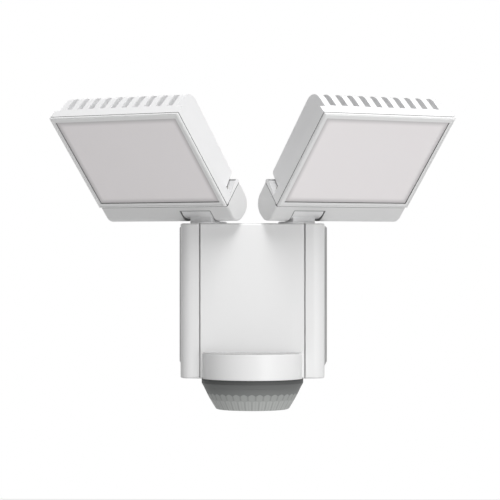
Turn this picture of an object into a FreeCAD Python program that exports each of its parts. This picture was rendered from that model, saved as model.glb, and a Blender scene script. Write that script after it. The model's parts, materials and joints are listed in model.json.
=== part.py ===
"""Wall light with two tilting LED heads and a motion sensor under the body.

Frame (mm): the origin is the middle of the wall screw pattern, on the wall plane.
+Z is up, the wall is the plane Y = 0, and the front faces -Y.
Each head is drawn in its own frame, then tilted, panned and set on its swivel:
    x along the tilt axis, towards the other head
    y from the window plane backwards, measured from the tilt axis
    z up the face, measured from the tilt axis
The right head is the mirror image of the left one in the plane X = 0.
"""
import FreeCAD, Part
import os
from math import cos, pi, radians, sin, tan

V = FreeCAD.Vector

# ---------------------------------------------------------------- body
body_w = 103.8          # front housing, across the cheeks
body_top = 52.5
body_bottom = -59.0
body_depth = 77.0       # wall to the middle of the front panel
body_crown = 1.2        # how far the middle of the front bulges
body_corner_r = 9.0     # upright front corners
body_edge_r = 1.4       # top and bottom edges
wall_t = 2.5            # moulded walls

base_step = 2.4         # rear part of the housing, wider on each side
base_step_top = 1.5     # and lower at its top
base_step_low = 7.2     # and higher at its bottom
base_depth = 27.0
base_corner_r = 2.0
base_foot_x = 1.6       # slanted lower corners of the rear part
base_foot_z = 3.3

cheek_w = 14.7          # cheek and groove, on each side of the front cover
groove_w = 1.0
cover_t = 3.2           # front cover, in the middle
cover_screw_top_x = 14.0
cover_screw_top_in = 8.5
cover_screw_low_x = 24.0
cover_screw_low_rise = 2.7  # above the visor
cover_screw_grip = 1.9

visor_step = 1.1        # visor, in from the edges of the front cover
visor_h = 18.8
visor_wall = 2.2
visor_edge_r = 0.9
visor_back = 6.0        # axis of visor, ring and lens, behind the front panel

# ---------------------------------------------------------------- sensor ring and lens
ring_step = 0.4         # ring, wider than the visor
ring_band = 3.0         # straight dark band under the visor
ring_cone_h = 3.1
ring_cone = 0.55        # loss of radius per mm of drop
ring_spigot_t = 1.6
ring_spigot_h = 4.0     # up into the visor
spigot_gap = 0.3
hook_reach = 1.4
hook_h = 1.3
hook_angle = 14.0
hook_turns = (35.0, 90.0, 145.0)
lens_drop = 15.9        # lens shoulder down to the flat bottom
lens_cone = 0.48        # loss of radius per mm of drop, plain band
lens_wall = 1.7
lens_neck_h = 5.1
lens_neck_gap = 0.2
facets = 36
row1_drop = 3.8         # shoulder to the tops of the upper facets
row1_cone = 0.55
row2_drop = 8.3         # shoulder to the tops of the lower facets
row2_cone = 0.62
lens_chamfer = 1.0
sensor_board_t = 1.6
chip_w = 12.0
chip_d = 8.0
chip_h = 2.0
pyro_r = 4.6
pyro_h = 4.0
pyro_rim = 0.6
pyro_rim_h = 0.8
pyro_reach = 15.0
pyro_turns = (-90.0, 30.0, 150.0)

# ---------------------------------------------------------------- wall plate
plate_depth = 12.0
plate_floor = 3.0
plate_inset = 0.5       # shadow step between wall plate and housing
wall_hole_x = 72.0      # spacing of the four wall screws
wall_hole_z = 64.0
wall_hole_r = 2.5
gasket_margin = 4.0
gasket_w = 4.0
gasket_t = 1.5
cable_z = 16.0
cable_hole_r = 9.0
grommet_bore_r = 4.0
grommet_flange = 2.2
grommet_flange_t = 1.6
grommet_nose_h = 5.0
grommet_nose_wall = 2.0
tab_in = 19.3           # screw bosses below and plain tabs above, in from the sides
tab_w = 10.0
tab_reach = 22.0
tab_h = 9.0
tab_gap = 0.2
tab_screw_y = -17.5
tab_screw_l = 11.0

# ---------------------------------------------------------------- electronics in the body
board_in = 13.9         # driver board, in from the cheeks
board_rise = 4.2        # and above the visor
board_top_in = 25.5
board_t = 1.6
board_screw_l = 6.5
standoff_h = 5.8
standoff_r = 3.4
standoff_inset = 5.0
transformer_x = -15.0
transformer_z = -4.0
transformer_w = 22.0
transformer_h = 24.0
transformer_d = 19.0
coil_margin = 4.0       # winding, in from the edges of the transformer core
coil_reach = 3.0
relay_x = 13.0
relay_z = 15.0
relay_w = 18.0
relay_h = 14.0
relay_d = 15.0
big_cap_x = 14.0
big_cap_z = -4.0
big_cap_r = 6.3
big_cap_d = 20.0
small_cap_x = 25.0
small_cap_z = -16.0
small_cap_r = 5.0
small_cap_d = 16.0
choke_x = 2.0
choke_z = -25.0
choke_r = 7.0
choke_hole_r = 3.0
choke_d = 8.0
terminal_ways = 3
terminal_w = 33.0
terminal_h = 13.0
terminal_d = 14.0
terminal_z = -22.0
terminal_screw_r = 2.6
terminal_screw_d = 2.0
entry_w = 6.0           # wire openings along the top of the terminal block
entry_h = 5.0
entry_wall = 3.0        # in front of a wire opening
entry_back = 4.0
dial_in = 8.9           # dial axes, in from the cheeks
dial_ahead = 13.0       # and in front of the rear part of the housing
dial_r = 5.5
dial_h = 3.0
dial_edge = 0.6
dial_flutes = 12
dial_flute_r = 0.6
dial_shaft_r = 3.0
dial_play = 0.06
dial_sunk = 3.5         # floor of the dial's well, above the underside
dial_well_gap = 0.6
dial_lift = 0.3
dial_shaft_h = 7.0
dial_slot_w = 1.4
dial_slot_d = 1.2
dial_slot_end = 1.5     # blind end of the pointer slot, past the middle
pot_w = 11.0
pot_h = 7.0

# ---------------------------------------------------------------- swivels
pan_in = 20.1           # pan axes, in from the cheeks
pan_back = 15.0         # and behind the front panel
collar_r = 13.2
collar_h = 1.3
collar_edge = 0.5
spigot_r = 5.0
spigot_wire_r = 2.6
spigot_tail = 1.5
wire_hole_rise = 3.0
running_gap = 0.05
swivel_boss_r = 8.8
swivel_boss_h = 6.5     # top wall and boss together
seal_r = 9.5
seal_w = 2.0
seal_t = 1.0
washer_r = 8.4
washer_t = 1.2
nut_af = 14.0
nut_h = 5.0
tilt_rise = 14.2        # tilt axis above the body
tilt_lead = 4.3         # tilt axis in front of the pan axis
barrel_r = 11.0
barrel_w = 25.6
barrel_out = 1.4        # barrel, outwards from the pan axis
neck_t = 10.0
neck_w = 19.0
neck_root = 0.5         # foot of the neck, above the body
saddle_gap = 0.5
tilt_pin_r = 2.5
tilt_pin_l = 40.0

# ---------------------------------------------------------------- heads
rest_pan = 35.0         # turned outwards from straight ahead
rest_tilt = 42.0        # face turned down from upright
window_w = 108.4
window_h = 77.1
frame_w = 3.7           # bezel at the sides of the window
frame_h = 4.15          # bezel above and below the window
inner_reach = 29.6      # inner end of the head, past the middle of the knuckle
axis_depth = 12.7       # tilt axis behind the window plane
axis_below = 7.9        # tilt axis below the foot of the bezel
bezel_t = 1.6
bezel_lip = 1.0
bezel_lip_h = 0.35
bezel_lip_inset = 0.1
bezel_lip_root = 0.3
bezel_edge_r = 0.6
shadow_w = 0.5          # shadow gaps round the head, behind the bezel and over the hinge housing
shadow_d = 0.9
diffuser_sunk = 0.6
diffuser_t = 3.0
diffuser_flange = 1.2
diffuser_gap = 0.15
head_gasket_t = 0.8
tongue_w = 1.0          # bezel tongue round the pane, pressed into the rim
tongue_h = 2.0
tongue_root = 0.5
tongue_gap = 0.05
rim_depth = 9.7         # rear of the solid rim, behind the window plane
rim_edge_r = 1.6
rim_foot_rise = 2.9     # foot of the rim's upright back, above the foot of the bezel
led_floor = 8.0
fin_depth = 28.4        # rear of the fins at the top
fin_low_depth = 26.8    # rear of the fins at the bottom
fin_top_r = 10.0
fin_root = 2.0
fin_foot_rise = 8.9     # lower ends of the fins, above the foot of the bezel
fin_foot_cut = 1.2
fin_heel_rise = 4.3
fin_inset = 4.7         # fin block, in from each end of the head
fin_slots = 10
slot_w = 5.0
foot_rise = 7.5         # top of the foot that carries the hinge housing
foot_round = 2.6
seam_front_rise = -0.1  # seam over the hinge housing, above the foot of the bezel
seam_rear_rise = 3.1
seam_depth = 24.3
drum_front = 1.4
drum_back = 23.9
drum_below = 11.4       # underside of the hinge housing, below the tilt axis
drum_front_r = 8.5
drum_back_r = 11.2
drum_end_r = 1.4
drum_groove_h = 1.1     # groove along the hinge housing, under the bezel
drum_groove_d = 2.4
saddle_lip = 2.6        # saddle edges above the tilt axis
drum_screw_inset = 12.0
drum_screw_y = 2.0
drum_screw_seat = -6.0  # under the screw heads, from the tilt axis
drum_screw_grip = 4.0
pin_clear = 4.4         # inner drum screw, past the end of the tilt pin
led_board_t = 1.6
led_board_margin = 3.5
led_screw_l = 2.9
led_screw_inset = 6.0
led_rows = 5
led_cols = 8
led_size = 3.0
led_h = 0.8
led_margin_x = 13.6     # outer LEDs, in from the edges of the window
led_margin_z = 12.55

# ---------------------------------------------------------------- screws
screw_r = 1.5
screw_head_r = 2.7
screw_head_h = 1.8
screw_edge = 0.5
screw_recess_r = 0.95
screw_recess_d = 0.9
screw_hole_gap = 0.1
screw_seat_gap = 0.2
screw_end_gap = 0.3     # blind holes run this far past the screws
past = 1.0              # cutting shapes run this far past the surface

# ---------------------------------------------------------------- worked out once
body_half = body_w / 2
base_half = body_half + base_step
base_top = body_top - base_step_top
base_bottom = body_bottom + base_step_low
cover_half = body_half - cheek_w
cover_seat_y = cover_t - body_depth
front_wall_y = cover_seat_y + wall_t
board_y = front_wall_y + standoff_h
sensor_y = visor_back - body_depth
pan_x = body_half - pan_in
pan_y = pan_back - body_depth
dial_x = body_half - dial_in
dial_y = -base_depth - dial_ahead
tab_x = base_half - tab_in
visor_r = cover_half - visor_step
visor_top = body_bottom + visor_h
visor_room_r = visor_r - visor_wall
visor_room_top = visor_top - visor_wall
ring_r = visor_r + ring_step
shoulder_z = body_bottom - ring_band - ring_cone_h
ring_foot_r = ring_r - ring_cone_h * ring_cone
spigot_out_r = visor_room_r - spigot_gap
spigot_in_r = spigot_out_r - ring_spigot_t
spigot_top = body_bottom + ring_spigot_h
board_half = body_half - board_in
board_low = visor_top + board_rise
board_high = body_top - board_top_in
dial_floor_z = body_bottom + dial_sunk
dial_well_r = dial_r + dial_well_gap
shank_hole_r = screw_r + screw_hole_gap
swivel_spigot_l = swivel_boss_h + washer_t + nut_h + spigot_tail
tilt_z = body_top + tilt_rise
face_y = -axis_depth
head_w = window_w + 2 * frame_w
head_h = window_h + 2 * frame_h
head_top = head_h / 2
window_x = inner_reach - head_w / 2
head_x0 = inner_reach - head_w
axis_drop = head_top + axis_below
seam_slope = (seam_rear_rise - seam_front_rise) / (seam_depth - bezel_t)
led_pitch_x = (window_w - 2 * led_margin_x) / (led_cols - 1)
led_pitch_z = (window_h - 2 * led_margin_z) / (led_rows - 1)
pane_w = window_w + 2 * diffuser_flange
pane_h = window_h + 2 * diffuser_flange
pane_room_w = pane_w + 2 * diffuser_gap
pane_room_h = pane_h + 2 * diffuser_gap
diffuser_back = diffuser_sunk + diffuser_t
led_board_y = led_floor - led_board_t - axis_depth
barrel_x0 = -barrel_w / 2 - barrel_out
saddle_x0 = barrel_x0 - saddle_gap
saddle_x1 = barrel_x0 + barrel_w + saddle_gap
pin_half = tilt_pin_l / 2


# ---------------------------------------------------------------- helpers
def box(x0, x1, y0, y1, z0, z1):
    return Part.makeBox(x1 - x0, y1 - y0, z1 - z0, V(x0, y0, z0))


def slab(cx, cz, w, h, y0, y1):
    """Plate in an XZ plane, centred on cx and cz."""
    return box(cx - w / 2, cx + w / 2, y0, y1, cz - h / 2, cz + h / 2)


def rod(r, start, axis, length):
    return Part.makeCylinder(r, length, V(*start), V(*axis))


def tube(r_out, r_in, start, axis, length):
    return rod(r_out, start, axis, length).cut(rod(r_in, start, axis, length))


def round_corner(before, at, after, r):
    """The start and the arc of a round corner between two straight runs."""
    back = (before - at).normalize()
    on = (after - at).normalize()
    half = back.getAngle(on) / 2
    run = r / tan(half)
    middle = at + (back + on).normalize() * (r / sin(half) - r)
    return [at + back * run, ("arc", middle, at + on * run)]


def outline(points):
    """Closed wire through the points; a triple ("arc", through, end) bends to its end."""
    edges = []
    last = points[0]
    for item in points[1:] + [points[0]]:
        if item[0] == "arc":
            edges.append(Part.Arc(last, item[1], item[2]).toShape())
            last = item[2]
        else:
            edges.append(Part.makeLine(last, item))
            last = item
    return Part.Wire(edges)


def prism(points, push):
    return Part.Face(outline(points)).extrude(push)


def spin(points, centre):
    """Solid of revolution about the upright line through centre; points are (r, z)."""
    wire = Part.makePolygon([V(centre[0] + r, centre[1], z) for r, z in points + points[:1]])
    return Part.Face(wire).revolve(V(centre[0], centre[1], 0), V(0, 0, 1), 360)


def edges_where(shape, test):
    return [e for e in shape.Edges if test(e)]


def runs_along(edge, axis):
    if edge.Curve.TypeId != "Part::GeomLine":
        return False
    return abs(abs(edge.tangentAt(edge.FirstParameter).dot(axis)) - 1) < 1e-6


def save(name, shape):
    shape.exportStep("parts/" + name + ".step")
    print(name, len(shape.Solids), round(shape.Volume))


# ---------------------------------------------------------------- screws
def screw(start, axis, length):
    """Pan head on the side that start faces, with its shank running along axis."""
    a = V(*axis)
    seat = V(*start)
    top = seat - a * screw_head_h
    shank = Part.makeCylinder(screw_r, length, seat, a)
    flank = Part.makeCylinder(screw_head_r, screw_head_h - screw_edge, top + a * screw_edge, a)
    dome = Part.makeCone(screw_head_r - screw_edge, screw_head_r, screw_edge, top, a)
    recess = Part.makeCylinder(screw_recess_r, screw_recess_d, top, a)
    return shank.fuse(flank).fuse(dome).cut(recess)


def screw_set(spots, axis, length):
    return Part.makeCompound([screw(spot, axis, length) for spot in spots])


def corner_spots(x, z):
    return [(side * x, height) for side in (-1, 1) for height in (-z, z)]


def board_screw_spots():
    x = board_half - standoff_inset
    heights = (board_low + standoff_inset, board_high - standoff_inset)
    return [(side * x, z) for side in (-1, 1) for z in heights]


def cover_screw_spots():
    upper = (cover_screw_top_x, body_top - cover_screw_top_in)
    lower = (cover_screw_low_x, visor_top + cover_screw_low_rise)
    return [(side * x, z) for side in (-1, 1) for x, z in (upper, lower)]


# ---------------------------------------------------------------- housing, cover, ring, lens
def front_block():
    """Front housing as a block: the front bows out and its upright corners are round."""
    side_y = body_crown - body_depth
    front = [
        V(-body_half, -base_depth, body_bottom),
        V(-body_half, side_y, body_bottom),
        ("arc", V(0, -body_depth, body_bottom), V(body_half, side_y, body_bottom)),
        V(body_half, -base_depth, body_bottom),
    ]
    block = prism(front, V(0, 0, body_top - body_bottom))
    upright = edges_where(block, lambda e: runs_along(e, V(0, 0, 1)) and e.CenterOfMass.y < side_y + past)
    block = block.makeFillet(body_corner_r, upright)
    flat = edges_where(
        block,
        lambda e: e.BoundBox.ZLength < 1e-6 and e.BoundBox.YMin < -base_depth - 1e-3,
    )
    return block.makeFillet(body_edge_r, flat)


def base_outline(inset, y0, y1):
    """Rear outline, drawn in by inset: round upper corners, slanted lower corners."""
    half = base_half - inset
    low = V(half, y0, base_bottom + inset + base_foot_z)
    high = V(half, y0, base_top - inset)
    flip = V(-2 * half, 0, 0)
    points = [
        V(half - base_foot_x, y0, base_bottom + inset),
        low,
        *round_corner(low, high, high + flip, base_corner_r),
        *round_corner(high, high + flip, low + flip, base_corner_r),
        low + flip,
        V(base_foot_x - half, y0, base_bottom + inset),
    ]
    return prism(points, V(0, y1 - y0, 0))


def sensor_well(r, z0, z1):
    return rod(r, (0, sensor_y, z0), (0, 0, 1), z1 - z0)


def visor_room():
    return sensor_well(visor_room_r, body_bottom - past, visor_room_top)


def main_housing():
    """Shell open to the wall, with a recess and holes for all that is set into it."""
    shell = front_block().fuse(base_outline(0, -base_depth, -plate_depth)).removeSplitter()
    room_half = body_half - wall_t
    front_cavity = box(
        -room_half, room_half,
        front_wall_y, -base_depth - wall_t,
        body_bottom + wall_t, body_top - wall_t,
    )
    throat = box(
        -room_half, room_half,
        -base_depth - wall_t, -base_depth + wall_t,
        base_bottom + wall_t, base_top - wall_t,
    )
    rear_cavity = base_outline(wall_t, -base_depth + wall_t, -plate_depth + past)
    recess = box(
        -cover_half - groove_w, cover_half + groove_w,
        -body_depth - past, cover_seat_y,
        body_bottom - past, body_top + past,
    )
    for hollow in (front_cavity, throat, rear_cavity, recess, visor_room()):
        shell = shell.cut(hollow)
    room = box(-body_half, body_half, cover_seat_y, -base_depth, body_bottom, body_top)
    for side in (-1, 1):
        boss = rod(swivel_boss_r, (side * pan_x, pan_y, body_top), (0, 0, -1), swivel_boss_h)
        shell = shell.fuse(boss.common(room))
        well = rod(dial_well_r + wall_t, (side * dial_x, dial_y, body_bottom), (0, 0, 1), dial_sunk + wall_t)
        shell = shell.fuse(well.common(room))
    for x, z in board_screw_spots():
        shell = shell.fuse(rod(standoff_r, (x, front_wall_y, z), (0, 1, 0), standoff_h))
    for side in (-1, 1):
        above = (side * pan_x, pan_y, body_top + past)
        shell = shell.cut(rod(spigot_r + running_gap, above, (0, 0, -1), swivel_boss_h + 2 * past))
        shell = shell.cut(rod(seal_r, (side * pan_x, pan_y, body_top), (0, 0, -1), seal_t))
        shell = shell.cut(rod(dial_well_r, (side * dial_x, dial_y, dial_floor_z), (0, 0, -1), dial_sunk + past))
        well_floor = (side * dial_x, dial_y, dial_floor_z - past)
        shell = shell.cut(rod(dial_shaft_r + dial_play, well_floor, (0, 0, 1), wall_t + 2 * past))
        under = (side * tab_x, tab_screw_y, base_bottom - past)
        shell = shell.cut(rod(shank_hole_r, under, (0, 0, 1), wall_t + 2 * past))
    for x, z in board_screw_spots():
        shell = shell.cut(rod(screw_r, (x, board_y, z), (0, -1, 0), board_screw_l - board_t + screw_end_gap))
    for x, z in cover_screw_spots():
        shell = shell.cut(rod(shank_hole_r, (x, front_wall_y, z), (0, -1, 0), wall_t + past))
    return shell.removeSplitter()


def front_cover():
    """Bowed panel between the two grooves, in one piece with the round visor below."""
    plate = front_block().common(
        box(-cover_half, cover_half, -body_depth - past, cover_seat_y, body_bottom - past, body_top + past)
    )
    visor = sensor_well(visor_r, body_bottom, visor_top)
    top_rim = edges_where(visor, lambda e: abs(e.CenterOfMass.z - visor_top) < 1e-6)
    visor = visor.makeFillet(visor_edge_r, top_rim)
    ahead = box(-visor_r, visor_r, sensor_y - visor_r - past, cover_seat_y, body_bottom, visor_top)
    cover = plate.fuse(visor.common(ahead)).removeSplitter()
    cover = cover.cut(visor_room())
    for x, z in cover_screw_spots():
        cover = cover.cut(rod(screw_r, (x, cover_seat_y, z), (0, -1, 0), cover_screw_grip + screw_end_gap))
    return cover.removeSplitter()


def sensor_ring():
    """Dark band under the visor, with a spigot and three hooks inside it."""
    ring = spin(
        [
            (ring_r, body_bottom),
            (ring_r, body_bottom - ring_band),
            (ring_foot_r, shoulder_z),
            (spigot_in_r, shoulder_z),
            (spigot_in_r, spigot_top),
            (spigot_out_r, spigot_top),
            (spigot_out_r, body_bottom),
        ],
        (0, sensor_y),
    )
    floor = V(0, 0, spigot_top - hook_h)
    for turn in hook_turns:
        hook = Part.makeCylinder(spigot_out_r + hook_reach, hook_h, floor, V(0, 0, 1), hook_angle)
        hook = hook.cut(Part.makeCylinder(spigot_in_r, hook_h, floor, V(0, 0, 1)))
        hook.rotate(V(0, 0, 0), V(0, 0, 1), turn - hook_angle / 2)
        hook.translate(V(0, sensor_y, 0))
        ring = ring.fuse(hook)
    return ring.removeSplitter()


def facet_ring(top_z, flat_r, cone, high_z, low_z, turn):
    """Tapered ring of flat facets; flat_r is the distance from the axis to the flats at top_z."""
    rings = []
    for z in (high_z, low_z):
        corner_r = (flat_r + cone * (z - top_z)) / cos(pi / facets)
        turns = [2 * pi * (i + turn) / facets for i in range(facets)]
        corners = [V(corner_r * cos(a), sensor_y + corner_r * sin(a), z) for a in turns]
        rings.append(Part.makePolygon(corners + corners[:1]))
    return Part.makeLoft(rings, True, True)


def lens_r(drop):
    return ring_foot_r - lens_cone * drop


def sensor_lens():
    """Frosted lens: plain cone above, then two rows of flat facets half a facet apart."""
    low_z = shoulder_z - lens_drop
    neck_z = shoulder_z + lens_neck_h
    neck_r = spigot_in_r - lens_neck_gap
    row1_r = lens_r(row1_drop)
    row2_r = (row1_r - row1_cone * (row2_drop - row1_drop)) / cos(pi / facets)
    foot_r = row2_r - row2_cone * (lens_drop - row2_drop)
    outer = spin(
        [
            (0, neck_z),
            (neck_r, neck_z),
            (neck_r, shoulder_z),
            (ring_foot_r, shoulder_z),
            (lens_r(lens_drop - lens_chamfer), low_z + lens_chamfer),
            (foot_r - lens_chamfer, low_z),
            (0, low_z),
        ],
        (0, sensor_y),
    )
    reach = (neck_z + past, low_z - past)
    outer = outer.common(facet_ring(shoulder_z - row1_drop, row1_r, row1_cone, *reach, 0.5))
    outer = outer.common(facet_ring(shoulder_z - row2_drop, row2_r, row2_cone, *reach, 0.0))
    inner = spin(
        [
            (0, neck_z),
            (neck_r - lens_wall, neck_z),
            (neck_r - lens_wall, shoulder_z - lens_wall),
            (foot_r - lens_wall - lens_neck_gap, low_z + lens_wall),
            (0, low_z + lens_wall),
        ],
        (0, sensor_y),
    )
    return outer.cut(inner)


def sensor_board():
    disc = rod(spigot_out_r - spigot_gap, (0, sensor_y, spigot_top), (0, 0, 1), sensor_board_t)
    chip_z = spigot_top + sensor_board_t
    chip = box(
        -chip_w / 2, chip_w / 2,
        sensor_y - chip_d / 2, sensor_y + chip_d / 2,
        chip_z, chip_z + chip_h,
    )
    return disc.fuse(chip).removeSplitter()


def pyro_sensors():
    """Three heat sensors under the sensor board, one for each way that the lens looks."""
    cans = []
    for turn in pyro_turns:
        a = radians(turn)
        spot = (pyro_reach * cos(a), sensor_y + pyro_reach * sin(a), spigot_top)
        can = rod(pyro_r, spot, (0, 0, -1), pyro_h)
        rim = rod(pyro_r + pyro_rim, spot, (0, 0, -1), pyro_rim_h)
        cans.append(can.fuse(rim).removeSplitter())
    return Part.makeCompound(cans)


# ---------------------------------------------------------------- wall plate and its fittings
def wall_plate():
    """Tray screwed to the wall: two bosses take the housing screws, two tabs hold its top."""
    tray = base_outline(plate_inset, -plate_depth, 0)
    tray = tray.cut(base_outline(plate_inset + wall_t, -plate_depth - past, -plate_floor))
    tray = tray.cut(gasket_ring(past))
    low = base_bottom + wall_t + tab_gap
    high = base_top - wall_t - tab_gap
    for side in (-1, 1):
        x0 = side * tab_x - tab_w / 2
        boss = box(x0, x0 + tab_w, -tab_reach, -plate_floor, low, low + tab_h)
        tab = box(x0, x0 + tab_w, -tab_reach, -plate_floor, high - wall_t, high)
        hole = rod(screw_r, (side * tab_x, tab_screw_y, low), (0, 0, 1), tab_screw_l - wall_t)
        tray = tray.fuse(boss).fuse(tab).cut(hole)
    for x, z in corner_spots(wall_hole_x / 2, wall_hole_z / 2):
        tray = tray.cut(rod(wall_hole_r, (x, past, z), (0, -1, 0), plate_floor + 2 * past))
    tray = tray.cut(rod(cable_hole_r, (0, past, cable_z), (0, -1, 0), plate_floor + 2 * past))
    return tray.removeSplitter()


def gasket_ring(y1):
    ring = base_outline(plate_inset + gasket_margin, -gasket_t, y1)
    return ring.cut(base_outline(plate_inset + gasket_margin + gasket_w, -gasket_t, y1))


def wall_gasket():
    return gasket_ring(0)


def cable_grommet():
    """Rubber sleeve in the plate: a flange on the inside, a tapered nose and a round bore."""
    nose_y = -plate_floor - grommet_flange_t
    body = rod(cable_hole_r, (0, 0, cable_z), (0, -1, 0), plate_floor)
    flange = rod(cable_hole_r + grommet_flange, (0, -plate_floor, cable_z), (0, -1, 0), grommet_flange_t)
    nose_r = grommet_bore_r + grommet_nose_wall
    nose = Part.makeCone(cable_hole_r, nose_r, grommet_nose_h, V(0, nose_y, cable_z), V(0, -1, 0))
    bore = rod(grommet_bore_r, (0, past, cable_z), (0, -1, 0), grommet_nose_h - nose_y + 2 * past)
    return body.fuse(flange).fuse(nose).removeSplitter().cut(bore)


def terminal_block():
    front_y = -plate_floor - terminal_d
    block = slab(0, terminal_z, terminal_w, terminal_h, front_y, -plate_floor)
    pitch = terminal_w / terminal_ways
    top = terminal_z + terminal_h / 2
    for way in range(terminal_ways):
        x = pitch * (way + 0.5) - terminal_w / 2
        entry = box(
            x - entry_w / 2, x + entry_w / 2,
            front_y + entry_wall, -plate_floor - entry_back,
            top - entry_h, top + past,
        )
        well = rod(terminal_screw_r, (x, front_y - past, terminal_z), (0, 1, 0), terminal_screw_d + past)
        block = block.cut(entry).cut(well)
    return block


def driver_board():
    middle_z = (board_low + board_high) / 2
    board = slab(0, middle_z, 2 * board_half, board_high - board_low, board_y, board_y + board_t)
    for x, z in board_screw_spots():
        board = board.cut(rod(shank_hole_r, (x, board_y - past, z), (0, 1, 0), board_t + 2 * past))
    return board


def driver_components():
    """Transformer, relay, two capacitors and a choke, standing on the driver board."""
    y = board_y + board_t
    core = slab(transformer_x, transformer_z, transformer_w, transformer_h, y, y + transformer_d)
    coil_w = transformer_w - 2 * coil_margin
    coil_h = transformer_h - 2 * coil_margin
    coil = slab(transformer_x, transformer_z, coil_w, coil_h, y, y + transformer_d + coil_reach)
    relay = slab(relay_x, relay_z, relay_w, relay_h, y, y + relay_d)
    big_cap = rod(big_cap_r, (big_cap_x, y, big_cap_z), (0, 1, 0), big_cap_d)
    small_cap = rod(small_cap_r, (small_cap_x, y, small_cap_z), (0, 1, 0), small_cap_d)
    choke = tube(choke_r, choke_hole_r, (choke_x, y, choke_z), (0, 1, 0), choke_d)
    return Part.makeCompound([core.fuse(coil).removeSplitter(), relay, big_cap, small_cap, choke])


def adjust_pots():
    pots = []
    z = dial_floor_z + wall_t
    half = pot_w / 2
    for side in (-1, 1):
        x = side * dial_x
        pot = box(x - half, x + half, dial_y - half, dial_y + half, z, z + pot_h)
        pots.append(pot.cut(rod(dial_shaft_r + dial_play, (x, dial_y, z - past), (0, 0, 1), dial_shaft_h)))
    return Part.makeCompound(pots)


def dial(side):
    """Knurled knob in a well under the body, with a pointer slot, on a shaft into its adjuster."""
    x = side * dial_x
    top = dial_floor_z - dial_lift
    low = top - dial_h
    knob = rod(dial_r, (x, dial_y, top), (0, 0, -1), dial_h)
    knob = knob.makeChamfer(dial_edge, edges_where(knob, lambda e: abs(e.CenterOfMass.z - low) < 1e-6))
    for i in range(dial_flutes):
        a = 2 * pi * i / dial_flutes
        spot = (x + dial_r * cos(a), dial_y + dial_r * sin(a), top + past)
        knob = knob.cut(rod(dial_flute_r, spot, (0, 0, -1), dial_h + 2 * past))
    half = dial_slot_w / 2
    slot = box(x - half, x + half, dial_y - dial_r, dial_y + dial_slot_end, low - past, low + dial_slot_d)
    shaft = rod(dial_shaft_r, (x, dial_y, top), (0, 0, 1), dial_shaft_h)
    return knob.cut(slot).fuse(shaft).removeSplitter()


# ---------------------------------------------------------------- swivels, about the pan axis
def tilt_centre():
    """Middle of the left tilt axis, where the knuckle and the saddle meet."""
    forward = V(-sin(radians(rest_pan)), -cos(radians(rest_pan)), 0)
    return V(-pan_x, pan_y, tilt_z) + forward * tilt_lead


def place_pan(shape):
    """From the swivel frame (origin on the pan axis at the body top) to the left swivel at rest."""
    moved = shape.copy()
    moved.rotate(V(0, 0, 0), V(0, 0, 1), -rest_pan)
    moved.translate(V(-pan_x, pan_y, body_top))
    return moved


def place_head(shape):
    """From the head frame to the left head at rest."""
    moved = shape.copy()
    moved.rotate(V(0, 0, 0), V(1, 0, 0), rest_tilt)
    moved.rotate(V(0, 0, 0), V(0, 0, 1), -rest_pan)
    moved.translate(tilt_centre())
    return moved


def knuckle():
    """Turning foot: collar on the body, neck, cross barrel, and a hollow spigot below."""
    collar = rod(collar_r, (0, 0, 0), (0, 0, 1), collar_h)
    rim = edges_where(collar, lambda e: abs(e.CenterOfMass.z - collar_h) < 1e-6)
    collar = collar.makeChamfer(collar_edge, rim)
    barrel = rod(barrel_r, (barrel_x0, -tilt_lead, tilt_rise), (1, 0, 0), barrel_w)
    neck = box(
        -neck_w / 2, neck_w / 2,
        -tilt_lead - neck_t / 2, -tilt_lead + neck_t / 2,
        neck_root, tilt_rise,
    )
    spigot = rod(spigot_r, (0, 0, 0), (0, 0, -1), swivel_spigot_l)
    foot = collar.fuse(barrel).fuse(neck).fuse(spigot)
    pin_hole = rod(tilt_pin_r + running_gap, (-pin_half, -tilt_lead, tilt_rise), (1, 0, 0), tilt_pin_l)
    wire_hole = rod(spigot_wire_r, (0, 0, wire_hole_rise), (0, 0, -1), wire_hole_rise + swivel_spigot_l + past)
    return foot.cut(pin_hole).cut(wire_hole).removeSplitter()


def swivel_seal():
    return tube(seal_r, seal_r - seal_w, (0, 0, -running_gap), (0, 0, -1), seal_t - running_gap)


def swivel_washer():
    return tube(washer_r, spigot_r + running_gap, (0, 0, -swivel_boss_h), (0, 0, -1), washer_t - running_gap)


def swivel_nut():
    corner_r = nut_af / 2 / cos(pi / 6)
    top = -swivel_boss_h - washer_t
    corners = [V(corner_r * cos(pi * i / 3), corner_r * sin(pi * i / 3), top) for i in range(6)]
    nut = prism(corners, V(0, 0, -nut_h))
    return nut.cut(rod(spigot_r + running_gap, (0, 0, top + past), (0, 0, -1), nut_h + 2 * past))


# ---------------------------------------------------------------- head pieces, in the head frame
def pt(depth, rise):
    """Point at the outer end, from its depth behind the window plane and its height over the bezel's foot."""
    return V(head_x0, depth - axis_depth, rise + axis_below)


def face_slab(w, h, depth0, depth1):
    return slab(window_x, axis_drop, w, h, depth0 - axis_depth, depth1 - axis_depth)


def face_ring(w, h, border, depth0, depth1):
    """Rectangular ring in the plane of the window; w and h are its outer sizes."""
    inner = face_slab(w - 2 * border, h - 2 * border, depth0 - past, depth1 + past)
    return face_slab(w, h, depth0, depth1).cut(inner)


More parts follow.
